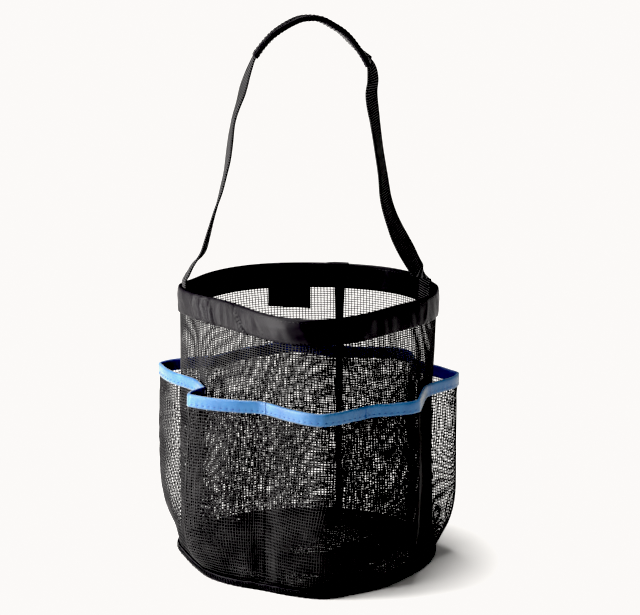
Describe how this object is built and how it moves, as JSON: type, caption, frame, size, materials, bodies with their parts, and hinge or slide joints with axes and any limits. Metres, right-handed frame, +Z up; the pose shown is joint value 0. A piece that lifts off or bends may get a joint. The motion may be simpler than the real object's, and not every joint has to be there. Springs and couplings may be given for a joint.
{
  "type": "mesh shower caddy",
  "caption": "Soft round mesh shower caddy with a cloth rim band, outer net pockets bound in blue and a swinging webbing handle.",
  "frame": {"origin": "on the underside of the base panel, under the middle of the tote", "axes": "+Z up, -Y the blunt front of the mouth, X through the strap's two ends"},
  "size_m": [0.2538, 0.2419, 0.4633],
  "materials": {
    "net": "open polyester net",
    "band_cloth": "woven polyester with a slight sheen",
    "webbing": "ribbed webbing",
    "blue_tape": "satin binding tape"
  },
  "bodies": {
    "tote": {"base_panel": "net", "base_hem": "band_cloth", "wall_net": "net", "back_seam_tape": "band_cloth", "label_patch": "band_cloth", "rim_band": "band_cloth", "pocket_back_right": "net", "pocket_back_left": "net", "pocket_left": "net", "pocket_front_left": "net", "pocket_front": "net", "pocket_front_right": "net", "pocket_right": "net", "pocket_binding": "blue_tape", "strap_end_left": "webbing", "strap_end_right": "webbing"},
    "handle": {"strap": "webbing", "grip_sleeve": "band_cloth"}
  },
  "joints": [
    {"name": "handle_swing", "type": "hinge", "parent": "tote", "child": "handle", "pos_m": [0, 0.025, 0.249], "axis": [1, 0, 0], "range_deg": [-90, 90]}
  ]
}
